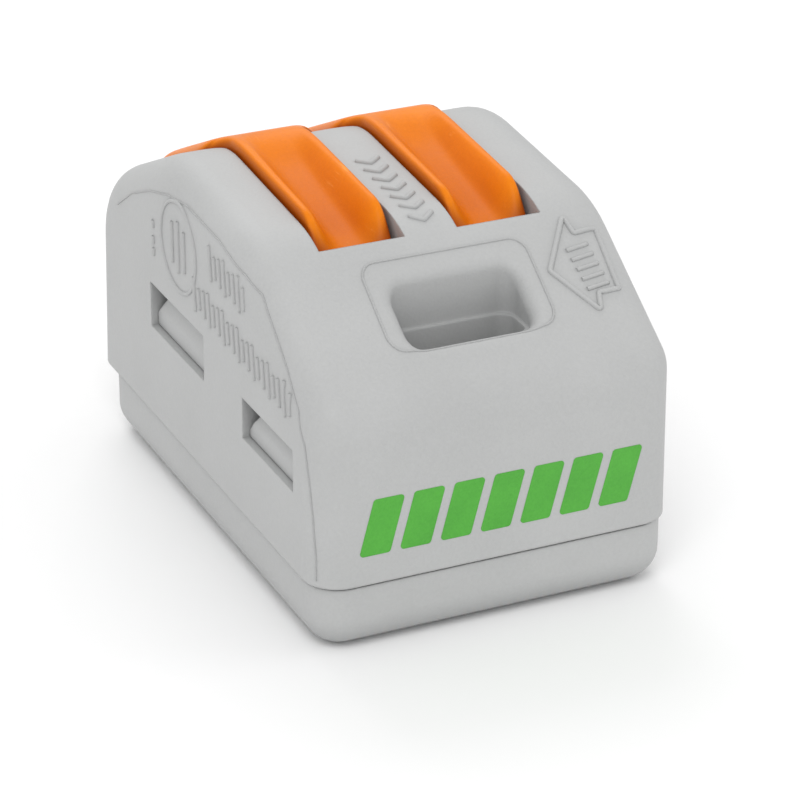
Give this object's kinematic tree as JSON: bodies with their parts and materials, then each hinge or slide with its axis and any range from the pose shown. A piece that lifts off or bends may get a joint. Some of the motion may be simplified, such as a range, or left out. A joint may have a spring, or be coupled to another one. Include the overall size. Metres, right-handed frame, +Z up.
{
  "type": "lever wire connector",
  "caption": "Compact lever splicing connector: grey snap-together housing with orange clamp levers, a sloping face with a test opening and round wire entries opposite.",
  "frame": {"origin": "middle of the underside of the base cover", "axes": "+Z up, +Y out of the face with the wire entries, X across the poles"},
  "size_m": [0.0132, 0.0206, 0.0131],
  "materials": {
    "grey_housing": "fine spark-eroded mould texture",
    "orange_lever": "satin moulded",
    "spring_steel": "rolled strip",
    "tinned_copper": "dull tin plating"
  },
  "bodies": {
    "housing": {"upper_housing": "grey_housing", "base_cover": "grey_housing", "left_contact_leg": "spring_steel", "right_contact_leg": "spring_steel", "current_bar": "tinned_copper"},
    "left_lever": {"left_lever": "orange_lever"},
    "right_lever": {"right_lever": "orange_lever"},
    "left_spring_cage": {"left_spring_cage": "spring_steel"},
    "right_spring_cage": {"right_spring_cage": "spring_steel"}
  },
  "joints": [
    {"name": "left_lever_pivot", "type": "hinge", "parent": "housing", "child": "left_lever", "pos_m": [-0.0025, -0.00215, 0.01065], "axis": [1, 0, 0], "range_deg": [0, 90]},
    {"name": "left_spring_flex", "type": "hinge", "parent": "housing", "child": "left_spring_cage", "pos_m": [-0.0025, -0.00475, 0.00755], "axis": [1, 0, 0], "range_deg": [-20, 0]},
    {"name": "right_lever_pivot", "type": "hinge", "parent": "housing", "child": "right_lever", "pos_m": [0.0025, -0.00215, 0.01065], "axis": [1, 0, 0], "range_deg": [0, 90]},
    {"name": "right_spring_flex", "type": "hinge", "parent": "housing", "child": "right_spring_cage", "pos_m": [0.0025, -0.00475, 0.00755], "axis": [1, 0, 0], "range_deg": [-20, 0]}
  ],
  "couplings": [
    {"joint": "left_spring_flex", "follows": "left_lever_pivot", "ratio": -0.22222},
    {"joint": "right_spring_flex", "follows": "right_lever_pivot", "ratio": -0.22222}
  ]
}
